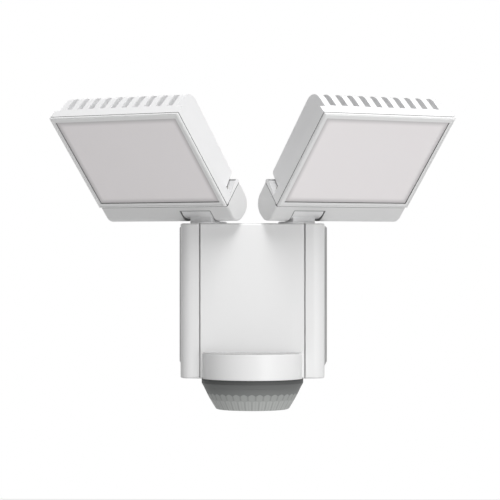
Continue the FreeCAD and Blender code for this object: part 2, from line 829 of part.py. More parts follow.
def bezel():
    """Frame round the window, with a raised lip and a tongue that grips the cast rim."""
    frame = face_slab(head_w, head_h, 0, bezel_t)
    around = edges_where(frame, lambda e: abs(e.CenterOfMass.y - face_y) < 1e-6)
    frame = frame.makeFillet(bezel_edge_r, around)
    inset = bezel_edge_r + bezel_lip_inset
    lip = face_ring(head_w - 2 * inset, head_h - 2 * inset, bezel_lip, -bezel_lip_h, bezel_lip_root)
    room = face_slab(pane_room_w, pane_room_h, bezel_t, bezel_t + tongue_h)
    tongue = face_slab(
        pane_room_w + 2 * tongue_w, pane_room_h + 2 * tongue_w,
        bezel_t - tongue_root, bezel_t + tongue_h,
    )
    window = face_slab(window_w, window_h, -past, bezel_t + tongue_h)
    return frame.fuse(lip).fuse(tongue.cut(room)).cut(window).removeSplitter()


def diffuser():
    """Frosted pane: it stands in the window and its flange is held behind the bezel."""
    pane = face_slab(window_w - 2 * diffuser_gap, window_h - 2 * diffuser_gap, diffuser_sunk, diffuser_back)
    return pane.fuse(face_slab(pane_w, pane_h, bezel_t, diffuser_back)).removeSplitter()


def head_gasket():
    return face_ring(pane_w, pane_h, diffuser_flange, diffuser_back, diffuser_back + head_gasket_t)


def fin_block():
    """Side view of the fins: flat top, round upper rear corner, slightly tapered back."""
    low_back = pt(fin_low_depth, fin_foot_rise + fin_foot_cut)
    top_front = pt(rim_depth - fin_root, head_h)
    points = [
        top_front,
        *round_corner(top_front, pt(fin_depth, head_h), low_back, fin_top_r),
        low_back,
        pt(fin_low_depth - fin_foot_cut, fin_foot_rise),
        pt(rim_depth - fin_root, fin_heel_rise),
    ]
    block = prism(points, V(head_w - 2 * fin_inset, 0, 0))
    block.translate(V(fin_inset, 0, 0))
    return block


def finned_back():
    """The fin block with its slots, which reach in to the back of the rim."""
    block_w = head_w - 2 * fin_inset
    fin_w = (block_w - fin_slots * slot_w) / (fin_slots + 1)
    fins = fin_block()
    for i in range(fin_slots):
        x0 = head_x0 + fin_inset + fin_w + i * (fin_w + slot_w)
        slot = box(x0, x0 + slot_w, rim_depth - axis_depth, fin_depth, 0, axis_drop + head_h)
        fins = fins.cut(slot)
    return fins


def heatsink():
    """Die-cast back: a rim round the LED pocket, upright fins, and a foot over the hinge."""
    front_top = pt(bezel_t, head_h)
    rim_foot = pt(rim_depth, rim_foot_rise)
    seam_end = pt(seam_depth, seam_rear_rise)
    side = [
        front_top,
        *round_corner(front_top, pt(rim_depth, head_h), rim_foot, rim_edge_r),
        rim_foot,
        *round_corner(rim_foot, pt(seam_depth, foot_rise), seam_end, foot_round),
        seam_end,
        pt(bezel_t, seam_front_rise),
    ]
    sink = prism(side, V(head_w, 0, 0)).fuse(finned_back())
    pocket_w = pane_room_w + 2 * (tongue_w + tongue_gap)
    pocket_h = pane_room_h + 2 * (tongue_w + tongue_gap)
    sink = sink.cut(face_slab(pocket_w, pocket_h, bezel_t - past, diffuser_back + head_gasket_t))
    sink = sink.cut(face_slab(window_w, window_h, bezel_t - past, led_floor))
    outside = past + shadow_d
    sink = sink.cut(face_ring(head_w + 2 * past, head_h + 2 * past, outside, bezel_t, bezel_t + shadow_w))
    sink = sink.cut(saddle_bore())
    for x, y, z in led_screw_spots():
        sink = sink.cut(rod(screw_r, (x, y, z), (0, 1, 0), led_screw_l + screw_end_gap))
    for x, y, z in drum_screw_spots():
        sink = sink.cut(rod(screw_r, (x, y, z), (0, 0, 1), drum_screw_length() + screw_end_gap))
    return sink.removeSplitter()


def led_screw_spots():
    x = window_w / 2 - led_screw_inset
    z = window_h / 2 - led_screw_inset
    return [(window_x + dx, led_board_y, axis_drop + dz) for dx, dz in corner_spots(x, z)]


def seam_z(y):
    """Height of the seam plane over the tilt axis, at y."""
    return axis_below + seam_front_rise + seam_slope * (y + axis_depth - bezel_t)


def drum_screw_spots():
    """One near the outer end, one past the tilt pin's inner end, one between the first and the pin."""
    outer_x = head_x0 + drum_screw_inset
    middle_x = (outer_x - pin_half) / 2
    return [(x, drum_screw_y, drum_screw_seat) for x in (outer_x, middle_x, pin_half + pin_clear)]


def drum_screw_length():
    return seam_z(drum_screw_y) + drum_screw_grip - drum_screw_seat


def saddle_bore():
    return rod(barrel_r + saddle_gap, (saddle_x0, 0, 0), (1, 0, 0), saddle_x1 - saddle_x0)


def seam_rebate():
    """Strips that open a shadow gap under the seam, at both ends and along the back."""
    y0 = drum_front + drum_groove_d - axis_depth
    y1 = seam_depth + past - axis_depth
    strip = [V(head_x0 - past, y, seam_z(y) + over) for y, over in (
        (y0, -shadow_w), (y1, -shadow_w), (y1, past), (y0, past),
    )]
    whole = prism(strip, V(head_w + 2 * past, 0, 0))
    kept = box(head_x0 + shadow_d, inner_reach - shadow_d, y0, y1 - past - shadow_d, -drum_below, axis_drop)
    return whole.cut(kept)


def hinge_drum():
    """Lower hinge housing, round below, with a saddle that takes the knuckle."""
    low = -drum_below
    y0 = drum_front - axis_depth
    y1 = drum_back - axis_depth
    groove_y = y0 + drum_groove_d
    shelf = V(head_x0, groove_y, seam_z(groove_y) - drum_groove_h)
    side = [
        V(head_x0, y0, seam_z(y0) - drum_groove_h),
        V(head_x0, y0, low),
        V(head_x0, y1, low),
        pt(seam_depth, seam_rear_rise),
        V(head_x0, groove_y, seam_z(groove_y)),
        shelf,
    ]
    drum = prism(side, V(head_w, 0, 0))
    for y, r in ((y0, drum_front_r), (y1, drum_back_r)):
        at = V(head_x0 + head_w / 2, y, low)
        drum = drum.makeFillet(r, edges_where(drum, lambda e: (e.CenterOfMass - at).Length < 1e-6))
    ends = edges_where(
        drum,
        lambda e: e.BoundBox.XLength < 1e-6 and e.CenterOfMass.z < seam_z(e.CenterOfMass.y) - drum_end_r,
    )
    drum = drum.makeFillet(drum_end_r, ends)
    opening = box(saddle_x0, saddle_x1, y0 - past, y1 + past, low - past, saddle_lip)
    drum = drum.cut(saddle_bore()).cut(opening).cut(tilt_pin()).cut(seam_rebate())
    for x, y, z in drum_screw_spots():
        drum = drum.cut(rod(shank_hole_r, (x, y, z), (0, 0, 1), drum_screw_length()))
        drum = drum.cut(rod(screw_head_r + screw_seat_gap, (x, y, z), (0, 0, -1), z - low + past))
    return drum.removeSplitter()


def tilt_pin():
    return rod(tilt_pin_r, (-pin_half, 0, 0), (1, 0, 0), tilt_pin_l)


def led_board():
    board_h = window_h - led_board_margin
    board = face_slab(window_w - led_board_margin, board_h, led_floor - led_board_t, led_floor)
    for x, y, z in led_screw_spots():
        board = board.cut(rod(shank_hole_r, (x, y - past, z), (0, 1, 0), led_board_t + 2 * past))
    return board


def led_array():
    leds = []
    for i in range(led_cols):
        for j in range(led_rows):
            x = window_x + (i - (led_cols - 1) / 2) * led_pitch_x
            z = axis_drop + (j - (led_rows - 1) / 2) * led_pitch_z
            leds.append(slab(x, z, led_size, led_size, led_board_y - led_h, led_board_y))
    return Part.makeCompound(leds)


# ---------------------------------------------------------------- write every piece
def save_pair(name, shape):
    """The piece on the left, and its mirror image on the right."""
    save("left_" + name, shape)
    save("right_" + name, shape.mirror(V(0, 0, 0), V(1, 0, 0)))


def save_body():
    save("wall_plate", wall_plate())
    save("wall_gasket", wall_gasket())
    save("cable_grommet", cable_grommet())
    save("terminal_block", terminal_block())
    save("main_housing", main_housing())
    save("front_cover", front_cover())
    save("sensor_ring", sensor_ring())
    save("sensor_lens", sensor_lens())
    save("sensor_board", sensor_board())
    save("pyro_sensors", pyro_sensors())
    save("driver_board", driver_board())
    save("driver_components", driver_components())
    save("adjust_pots", adjust_pots())
    save("time_dial", dial(-1))
    save("lux_dial", dial(1))
    on_board = [(x, board_y + board_t, z) for x, z in board_screw_spots()]
    save("board_screws", screw_set(on_board, (0, -1, 0), board_screw_l))
    behind_cover = [(x, front_wall_y, z) for x, z in cover_screw_spots()]
    save("cover_screws", screw_set(behind_cover, (0, -1, 0), wall_t + cover_screw_grip))
    under_base = [(side * tab_x, tab_screw_y, base_bottom) for side in (-1, 1)]
    save("housing_screws", screw_set(under_base, (0, 0, 1), tab_screw_l))


def save_swivels():
    for name, make in (
        ("knuckle", knuckle),
        ("swivel_seal", swivel_seal),
        ("swivel_washer", swivel_washer),
        ("swivel_nut", swivel_nut),
    ):
        save_pair(name, place_pan(make()))


def save_heads():
    for name, make in (
        ("heatsink", heatsink),
        ("bezel", bezel),
        ("diffuser", diffuser),
        ("head_gasket", head_gasket),
        ("led_board", led_board),
        ("led_array", led_array),
        ("hinge_drum", hinge_drum),
        ("tilt_pin", tilt_pin),
    ):
        save_pair(name, place_head(make()))
    drum_set = screw_set(drum_screw_spots(), (0, 0, 1), drum_screw_length())
    save_pair("drum_screws", place_head(drum_set))
    save_pair("led_screws", place_head(screw_set(led_screw_spots(), (0, 1, 0), led_screw_l)))


os.makedirs("parts", exist_ok=True)
save_body()
save_swivels()
save_heads()
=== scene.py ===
"""Looks of the wall light: softened edges, finishes, lamps and the camera.

Everything is in metres, in the frame of the CAD model: the wall is the plane Y = 0,
the front faces -Y and +Z is up.
"""
import json
from math import cos, pi, radians, sin, sqrt

import bmesh
import bpy
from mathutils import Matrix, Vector
from mathutils.bvhtree import BVHTree


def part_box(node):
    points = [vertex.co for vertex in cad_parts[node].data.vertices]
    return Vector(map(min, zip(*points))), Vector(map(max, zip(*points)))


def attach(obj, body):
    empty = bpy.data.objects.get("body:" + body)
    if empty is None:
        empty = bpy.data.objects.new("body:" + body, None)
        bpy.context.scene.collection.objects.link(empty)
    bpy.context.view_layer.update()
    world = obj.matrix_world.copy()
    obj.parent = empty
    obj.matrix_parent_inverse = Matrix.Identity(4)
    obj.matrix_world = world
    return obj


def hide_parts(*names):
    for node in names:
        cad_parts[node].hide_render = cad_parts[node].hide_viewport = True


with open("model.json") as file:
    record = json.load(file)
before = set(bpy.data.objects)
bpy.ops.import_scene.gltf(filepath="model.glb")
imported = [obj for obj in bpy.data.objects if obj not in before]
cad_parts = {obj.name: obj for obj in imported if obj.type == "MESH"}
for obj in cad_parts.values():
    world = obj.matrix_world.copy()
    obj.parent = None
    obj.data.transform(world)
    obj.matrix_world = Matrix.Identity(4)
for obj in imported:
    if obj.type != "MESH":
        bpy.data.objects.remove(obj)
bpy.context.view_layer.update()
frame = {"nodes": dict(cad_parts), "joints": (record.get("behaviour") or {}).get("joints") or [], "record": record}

MM = 0.001
SIDES = ("left", "right")
BODY_OF = {
    node: body
    for body, nodes in frame["record"]["behaviour"]["bodies"].items()
    for node in nodes
}
SLOT_OF = {part["node"]: part["material_slot"] for part in frame["record"]["subparts"]}
JOINT = {joint["name"]: joint for joint in frame["joints"]}


def side_of(node):
    """The side that a head's or swivel's piece is named after."""
    return node.split("_")[0]


def pane_normal(side):
    """The way a head faces at rest, from the wide faces of its pane."""
    mesh = frame["nodes"][side + "_diffuser"].data
    widest = max(mesh.polygons, key=lambda face: face.area)
    normal = widest.normal.copy()
    return normal if normal.y < 0 else -normal


def head_axes(side):
    """Of a head at rest: its tilt centre, the way to the other head, and the way up its face."""
    joint = JOINT[side + "_tilt"]
    tilt = Vector(joint["axis"]).normalized()
    up = pane_normal(side).cross(tilt)
    inwards = tilt if side == "left" else -tilt
    return Vector(joint["pos_m"]), inwards, up


# ---------------------------------------------------------------- node helpers
def add(tree, kind, at, **settings):
    """A node of this kind, with its settings, at a place in the node editor."""
    node = tree.nodes.new(kind)
    node.location = at
    for name, value in settings.items():
        setattr(node, name, value)
    return node


def group_tree(name, inputs, outputs):
    """An empty node group with named sockets: each is (name, socket type, default)."""
    tree = bpy.data.node_groups.new(name, "ShaderNodeTree")
    for direction, sockets in (("INPUT", inputs), ("OUTPUT", outputs)):
        for label, kind, default in sockets:
            socket = tree.interface.new_socket(label, in_out=direction, socket_type=kind)
            if default is not None:
                socket.default_value = default
    start = add(tree, "NodeGroupInput", (-900, 0))
    end = add(tree, "NodeGroupOutput", (700, 0))
    return tree, start, end


def place_group(tree, group, at, **values):
    """A group node in a material, with its own values; underscores stand for spaces."""
    node = add(tree, "ShaderNodeGroup", at, node_tree=group)
    for name, value in values.items():
        node.inputs[name.replace("_", " ")].default_value = value
    return node


def new_material(name, color, roughness, **sockets):
    """A material with one Principled shader; further sockets are set on the shader itself."""
    material = bpy.data.materials.new(name)
    material.use_nodes = True
    tree = material.node_tree
    shader = tree.nodes["Principled BSDF"]
    shader.inputs["Base Color"].default_value = (*color, 1.0)
    shader.inputs["Roughness"].default_value = roughness
    for label, value in sockets.items():
        shader.inputs[label.replace("_", " ")].default_value = value
    return material, tree, shader


def feed(tree, socket, source):
    """Set a socket to a number, or link it to an output."""
    if isinstance(source, float):
        socket.default_value = source
    else:
        tree.links.new(source, socket)


def math_steps(tree):
    """A function that adds one maths node to a tree and gives its output."""
    def step(operation, at, *sources):
        node = add(tree, "ShaderNodeMath", at, operation=operation)
        for slot, source in enumerate(sources):
            feed(tree, node.inputs[slot], source)
        return node.outputs[0]

    return step


def eased(tree, at, source, low, high, falls=False):
    """0 up to low and 1 from high on, eased in between, or the other way round if it falls."""
    node = add(tree, "ShaderNodeMapRange", at, interpolation_type="SMOOTHSTEP")
    feed(tree, node.inputs["Value"], source)
    feed(tree, node.inputs["From Min"], low)
    feed(tree, node.inputs["From Max"], high)
    node.inputs["To Min"].default_value = 1.0 if falls else 0.0
    node.inputs["To Max"].default_value = 0.0 if falls else 1.0
    return node.outputs["Result"]


def offset_from_centre(tree, start):
    """The way from a group's Centre to the point that is shaded."""
    place = add(tree, "ShaderNodeTexCoord", (-900, -300))
    offset = add(tree, "ShaderNodeVectorMath", (-750, 0), operation="SUBTRACT")
    feed(tree, offset.inputs[0], place.outputs["Object"])
    feed(tree, offset.inputs[1], start.outputs["Centre"])
    return offset.outputs["Vector"]


def along_axes(tree, start):
    """How far the shaded point lies from a group's Centre along its Across and Up."""
    offset = offset_from_centre(tree, start)
    measures = []
    for row, axis in enumerate(("Across", "Up")):
        dot = add(tree, "ShaderNodeVectorMath", (-600, -200 * row), operation="DOT_PRODUCT")
        feed(tree, dot.inputs[0], offset)
        feed(tree, dot.inputs[1], start.outputs[axis])
        measures.append(dot.outputs["Value"])
    return measures


# ---------------------------------------------------------------- shared effects
GAP_LAYER = "gap"
OPEN_SHARE = 0.35  # of the directions over a face that are blocked: no shade up to here
CLOSED_SHARE = 0.7  # and full shade from here on
TINT_SCALE = 28.0
WAVE_SCALE = 45.0
WAVE_HEIGHT = 0.8 * MM
GRAIN_HEIGHT = 0.1 * MM
PANE_CORNER = 4.0 * MM
FACET_ARCH_POWER = 1.4
FACET_BORDER_START = 0.6


def make_moulded_grain():
    """Fine spark-eroded texture and a slow waviness, as a bump on the surface."""
    tree, start, end = group_tree(
        "moulded_grain",
        [
            ("Grain Size", "NodeSocketFloat", 0.0006),
            ("Grain Depth", "NodeSocketFloat", 0.1),
            ("Wave Depth", "NodeSocketFloat", 0.05),
        ],
        [("Normal", "NodeSocketVector", None), ("Speckle", "NodeSocketFloat", 0.5)],
    )
    step = math_steps(tree)
    link = tree.links.new
    place = add(tree, "ShaderNodeTexCoord", (-900, -300))
    density = step("DIVIDE", (-700, 100), 1.0, start.outputs["Grain Size"])
    grain = add(tree, "ShaderNodeTexNoise", (-450, 100))
    grain.inputs["Detail"].default_value = 3.0
    wave = add(tree, "ShaderNodeTexNoise", (-450, -200))
    wave.inputs["Scale"].default_value = WAVE_SCALE
    wave.inputs["Detail"].default_value = 1.0
    slow = add(tree, "ShaderNodeBump", (-100, -200))
    slow.inputs["Distance"].default_value = WAVE_HEIGHT
    fine = add(tree, "ShaderNodeBump", (200, 0))
    fine.inputs["Distance"].default_value = GRAIN_HEIGHT
    link(density, grain.inputs["Scale"])
    link(place.outputs["Object"], grain.inputs["Vector"])
    link(place.outputs["Object"], wave.inputs["Vector"])
    link(wave.outputs["Fac"], slow.inputs["Height"])
    link(start.outputs["Wave Depth"], slow.inputs["Strength"])
    link(grain.outputs["Fac"], fine.inputs["Height"])
    link(start.outputs["Grain Depth"], fine.inputs["Strength"])
    link(slow.outputs["Normal"], fine.inputs["Normal"])
    link(fine.outputs["Normal"], end.inputs["Normal"])
    link(grain.outputs["Fac"], end.inputs["Speckle"])
    return tree


def make_tint_and_gap_shade():
    """Colour that drifts a little over the surface, with painted shade in narrow gaps."""
    tree, start, end = group_tree(
        "tint_and_gap_shade",
        [
            ("Color", "NodeSocketColor", (0.8, 0.8, 0.8, 1.0)),
            ("Hollow Color", "NodeSocketColor", (0.5, 0.5, 0.5, 1.0)),
            ("Drift", "NodeSocketFloat", 0.03),
            ("Hollow Amount", "NodeSocketFloat", 0.5),
        ],
        [("Color", "NodeSocketColor", None), ("Rub", "NodeSocketFloat", 0.5)],
    )
    step = math_steps(tree)
    link = tree.links.new
    place = add(tree, "ShaderNodeTexCoord", (-900, -300))
    cloud = add(tree, "ShaderNodeTexNoise", (-650, -200))
    cloud.inputs["Scale"].default_value = TINT_SCALE
    cloud.inputs["Detail"].default_value = 4.0
    link(place.outputs["Object"], cloud.inputs["Vector"])
    shift = step("SUBTRACT", (-450, -200), cloud.outputs["Fac"], 0.5)
    amount = step("MULTIPLY", (-250, -200), shift, start.outputs["Drift"])
    brightness = step("ADD", (-100, -100), amount, 1.0)
    drifted = add(tree, "ShaderNodeHueSaturation", (0, 100))
    link(brightness, drifted.inputs["Value"])
    link(start.outputs["Color"], drifted.inputs["Color"])
    # the gap share of each face sets how much painted shade of the Hollow Color it gets
    gap = add(tree, "ShaderNodeAttribute", (-650, -450), attribute_name=GAP_LAYER)
    hollow = eased(tree, (-400, -450), gap.outputs["Fac"], OPEN_SHARE, CLOSED_SHARE)
    weight = step("MULTIPLY", (-150, -450), hollow, start.outputs["Hollow Amount"])
    mix = add(tree, "ShaderNodeMix", (300, 0), data_type="RGBA")
    link(weight, mix.inputs["Factor"])
    link(drifted.outputs["Color"], mix.inputs["A"])
    link(start.outputs["Hollow Color"], mix.inputs["B"])
    link(mix.outputs["Result"], end.inputs["Color"])
    link(cloud.outputs["Fac"], end.inputs["Rub"])
    return tree


def make_pane_shade_mask():
    """Where a pane's painted edge shade lies: 0 in the middle of a pane and 1 at its edges, from the pane's own
    axes.
    """
    tree, start, end = group_tree(
        "pane_shade_mask",
        [
            ("Centre", "NodeSocketVector", None),
            ("Across", "NodeSocketVector", None),
            ("Up", "NodeSocketVector", None),
            ("Half Width", "NodeSocketFloat", 0.05),
            ("Half Height", "NodeSocketFloat", 0.04),
            ("Fade", "NodeSocketFloat", 0.006),
        ],
        [("Edge", "NodeSocketFloat", 0.0)],
    )
    step = math_steps(tree)
    halves = ("Half Width", "Half Height")
    rims = []
    for row, (along, half) in enumerate(zip(along_axes(tree, start), halves)):
        size = step("ABSOLUTE", (-320, -200 * row), along)
        rims.append(step("SUBTRACT", (-150, -200 * row), start.outputs[half], size))
    nearest = step("SMOOTH_MIN", (50, 0), *rims, PANE_CORNER)
    fade = eased(tree, (300, 0), nearest, 0.0, start.outputs["Fade"], falls=True)
    tree.links.new(fade, end.inputs["Edge"])
    return tree


def make_facet_row():
    """A ring of lens facets round an upright axis: 1 on the facets, and 1 along their borders."""
    tree, start, end = group_tree(
        "facet_row",
        [
            ("Centre", "NodeSocketVector", None),
            ("Facets", "NodeSocketFloat", 36.0),
            ("Turn", "NodeSocketFloat", 0.0),
            ("Row Top", "NodeSocketFloat", 0.0),
            ("Arch", "NodeSocketFloat", 0.001),
            ("Softness", "NodeSocketFloat", 0.0005),
        ],
        [("Row", "NodeSocketFloat", 0.0), ("Border", "NodeSocketFloat", 0.0)],
    )
    step = math_steps(tree)
    split = add(tree, "ShaderNodeSeparateXYZ", (-600, 0))
    tree.links.new(offset_from_centre(tree, start), split.inputs[0])
    angle = step("ARCTAN2", (-450, 0), split.outputs["Y"], split.outputs["X"])
    share = step("DIVIDE", (-350, 0), angle, 2 * pi)
    count = step("MULTIPLY_ADD", (-250, 0), share, start.outputs["Facets"], start.outputs["Turn"])
    within = step("FRACT", (-150, 0), count)
    doubled = step("MULTIPLY_ADD", (-50, 0), within, 2.0, -1.0)
    across = step("ABSOLUTE", (50, 0), doubled)
    bend = step("POWER", (150, 0), across, FACET_ARCH_POWER)
    drop = step("MULTIPLY", (250, 0), bend, start.outputs["Arch"])
    edge = step("SUBTRACT", (350, 0), start.outputs["Row Top"], drop)
    depth = step("SUBTRACT", (450, 0), edge, split.outputs["Z"])
    row = eased(tree, (550, 100), depth, 0.0, start.outputs["Softness"])
    border = eased(tree, (550, -200), across, FACET_BORDER_START, 1.0)
    tree.links.new(row, end.inputs["Row"])
    tree.links.new(border, end.inputs["Border"])
    return tree


def make_notch_outline():
    """1 on a narrow band along the sides and top of a notch that is open below."""
    tree, start, end = group_tree(
        "notch_outline",
        [
            ("Centre", "NodeSocketVector", None),
            ("Across", "NodeSocketVector", None),
            ("Up", "NodeSocketVector", None),
            ("Inner End", "NodeSocketFloat", 0.01),
            ("Outer End", "NodeSocketFloat", 0.01),
            ("Top", "NodeSocketFloat", 0.0),
            ("Width", "NodeSocketFloat", 0.0006),
        ],
        [("Line", "NodeSocketFloat", 0.0)],
    )
    step = math_steps(tree)
    across, up = along_axes(tree, start)
    past_inner = step("SUBTRACT", (-400, 100), across, start.outputs["Inner End"])
    minus_outer = step("MULTIPLY", (-550, -50), start.outputs["Outer End"], -1.0)
    past_outer = step("SUBTRACT", (-400, -50), minus_outer, across)
    past_side = step("MAXIMUM", (-250, 50), past_inner, past_outer)
    past_top = step("SUBTRACT", (-400, -200), up, start.outputs["Top"])
    out_side = step("MAXIMUM", (-100, 50), past_side, 0.0)
    out_top = step("MAXIMUM", (-100, -100), past_top, 0.0)
    squared = step("POWER", (50, 50), out_side, 2.0)
    total = step("MULTIPLY_ADD", (200, 0), out_top, out_top, squared)
    away = step("SQRT", (350, 0), total)
    line = eased(tree, (500, 0), away, 0.0, start.outputs["Width"], falls=True)
    tree.links.new(line, end.inputs["Line"])
    return tree


MOULDED_GRAIN = make_moulded_grain()
NOTCH_OUTLINE = make_notch_outline()
FACET_ROW = make_facet_row()
TINT_AND_GAP_SHADE = make_tint_and_gap_shade()
PANE_SHADE_MASK = make_pane_shade_mask()


# ---------------------------------------------------------------- finishes
BODY_TONE = 0.85
# the hinge housings' lower tone is painted shade on the same plastic as the body
SHADED_HINGE_TONE = 0.75
# painted shade in narrow gaps: a white plastic's share of its tone there
GAP_SHADE_SHARE = 0.3  # of a white plastic's tone, deep in its gaps
COAT_TONE = (0.85, 0.85, 0.855)
# painted shade of the powder coat in narrow gaps
COAT_GAP_SHADE = (0.25, 0.25, 0.255)

# the painted shade line round a hinge housing's saddle, from the tilt centre
SADDLE_SHADE = (0.16, 0.16, 0.16)
SADDLE_INNER = 11.9 * MM
SADDLE_OUTER = 14.7 * MM
SADDLE_TOP = 2.6 * MM
SADDLE_LINE = 1.1 * MM

PANE_MIDDLE = (0.94, 0.905, 0.913)
# grey of the painted shade at a pane's edges, reached over PANE_FADE from them
PANE_SHADED_EDGE = (0.62, 0.6, 0.605)
PANE_HALF_WIDTH = 54.2 * MM
PANE_HALF_HEIGHT = 38.5 * MM
PANE_FADE = 5.0 * MM

# the sensor's greys, painted shade darkest under the housing and paler lower down as painted light from below:
# millimetres below the housing, and the tone there
SENSOR_TONES = (
    (0.0, 0.045),
    (1.0, 0.085),
    (2.9, 0.1),
    (3.2, 0.17),
    (6.0, 0.2),
    (9.5, 0.24),
    (22.0, 0.3),
)
SENSOR_AXIS_Y = -71.0 * MM
FACET_ROWS = ((9.9 * MM, 0.5), (14.4 * MM, 0.0))  # drop below the housing, turn in facets
FACET_ARCH = 1.3 * MM
FACET_SOFTNESS = 0.5 * MM
# painted light on the facet rows and painted shade along their borders
FACET_LAYERS = (  # output of the facet row, its colour and its weight
    ("Row", (0.6, 0.615, 0.6), 0.46),
    ("Border", (0.16, 0.165, 0.16), 0.36),
)


def finish_surface(tree, shader, color, hollow, drift, hollow_amount, grain):
    """Tint on Base Color, with painted shade of the hollow colour in narrow gaps, and grain on Normal; grain is
    its size, its depth and the wave's.
    """
    tint = place_group(
        tree, TINT_AND_GAP_SHADE, (-400, 200),
        Color=(*color, 1.0), Hollow_Color=(*hollow, 1.0), Drift=drift, Hollow_Amount=hollow_amount,
    )
    bump = place_grain(tree, shader, (-400, -200), *grain)
    tree.links.new(tint.outputs["Color"], shader.inputs["Base Color"])
    return tint, bump


def place_grain(tree, shader, at, size, depth, wave):
    bump = place_group(tree, MOULDED_GRAIN, at, Grain_Size=size, Grain_Depth=depth, Wave_Depth=wave)
    tree.links.new(bump.outputs["Normal"], shader.inputs["Normal"])
    return bump


def vary_roughness(tree, shader, source, low, high):
    """Let the roughness follow a pattern between two values."""
    spread = add(tree, "ShaderNodeMapRange", (-150, 0))
    spread.inputs["To Min"].default_value = low
    spread.inputs["To Max"].default_value = high
    tree.links.new(source, spread.inputs["Value"])
    tree.links.new(spread.outputs["Result"], shader.inputs["Roughness"])


def moulded_white(name, tone):
    """Satin white plastic; the body is lighter than the hinge housings, whose darker copy of the same plastic is
    painted shade.
    """
    color = (tone, tone, tone)
    hollow = (tone * GAP_SHADE_SHARE, tone * GAP_SHADE_SHARE, tone * GAP_SHADE_SHARE)
    material, tree, shader = new_material(name, color, 0.42)
    _, bump = finish_surface(tree, shader, color, hollow, 0.02, 1.0, (0.7 * MM, 0.12, 0.02))
    vary_roughness(tree, shader, bump.outputs["Speckle"], 0.36, 0.48)
    return material


def shaded_hinge_white(side):
    """The hinge housing's white, with painted shade along the edges of its saddle."""
    material = moulded_white(side + "_shaded_hinge_white", SHADED_HINGE_TONE)
    tree = material.node_tree
    shader = tree.nodes["Principled BSDF"]
    centre, inwards, up = head_axes(side)
    outline = place_group(
        tree, NOTCH_OUTLINE, (-400, 500), Centre=centre, Across=inwards, Up=up,
        Inner_End=SADDLE_INNER, Outer_End=SADDLE_OUTER, Top=SADDLE_TOP, Width=SADDLE_LINE,
    )
    shade = add(tree, "ShaderNodeMix", (-150, 400), data_type="RGBA")
    shade.inputs["B"].default_value = (*SADDLE_SHADE, 1.0)
    tree.links.new(shader.inputs["Base Color"].links[0].from_socket, shade.inputs["A"])
    tree.links.new(outline.outputs["Line"], shade.inputs["Factor"])
    tree.links.new(shade.outputs["Result"], shader.inputs["Base Color"])
    return material


def white_coat():
    """Powder coat on the cast heads and knuckles: a little rougher than the plastic."""
    material, tree, shader = new_material("white_coat", COAT_TONE, 0.5)
    _, bump = finish_surface(
        tree, shader, COAT_TONE, COAT_GAP_SHADE, 0.02, 1.0, (1.1 * MM, 0.06, 0.02)
    )
    vary_roughness(tree, shader, bump.outputs["Speckle"], 0.42, 0.56)
    return material


def frosted_pane(side):
    """Opal pane, with painted shade towards its edges for the light that the box behind it swallows."""
    material, tree, shader = new_material(side + "_frosted_pane", PANE_MIDDLE, 0.33)
    low, high = (Vector(corner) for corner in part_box(side + "_diffuser"))
    _, inwards, up = head_axes(side)
    edge = place_group(
        tree, PANE_SHADE_MASK, (-600, 0), Centre=(low + high) / 2, Across=inwards, Up=up,
        Half_Width=PANE_HALF_WIDTH, Half_Height=PANE_HALF_HEIGHT, Fade=PANE_FADE,
    )
    shade = add(tree, "ShaderNodeMix", (-250, 100), data_type="RGBA")
    shade.inputs["A"].default_value = (*PANE_MIDDLE, 1.0)
    shade.inputs["B"].default_value = (*PANE_SHADED_EDGE, 1.0)
    tree.links.new(edge.outputs["Edge"], shade.inputs["Factor"])
    tree.links.new(shade.outputs["Result"], shader.inputs["Base Color"])
    place_grain(tree, shader, (-400, -300), 0.9 * MM, 0.15, 0.02)
    return material


def sensor_greys(tree, top, foot):
    """The sensor's plain greys from its top down, painted shade at the top and painted light lower down, as a
    colour output.
    """
    place = add(tree, "ShaderNodeTexCoord", (-1300, 0))
    split = add(tree, "ShaderNodeSeparateXYZ", (-1150, 0))
    height = add(tree, "ShaderNodeMapRange", (-1000, 0))
    height.inputs["From Min"].default_value = top
    height.inputs["From Max"].default_value = foot
    ramp = add(tree, "ShaderNodeValToRGB", (-850, 0))
    while len(ramp.color_ramp.elements) < len(SENSOR_TONES):
        ramp.color_ramp.elements.new(0.5)
    for stop, (drop, tone) in zip(ramp.color_ramp.elements, SENSOR_TONES):
        stop.position = drop * MM / (top - foot)
        stop.color = (tone * 0.97, tone, tone * 0.985, 1.0)
    tree.links.new(place.outputs["Object"], split.inputs[0])
    tree.links.new(split.outputs["Z"], height.inputs["Value"])
    tree.links.new(height.outputs["Result"], ramp.inputs["Fac"])
    return ramp.outputs["Color"]


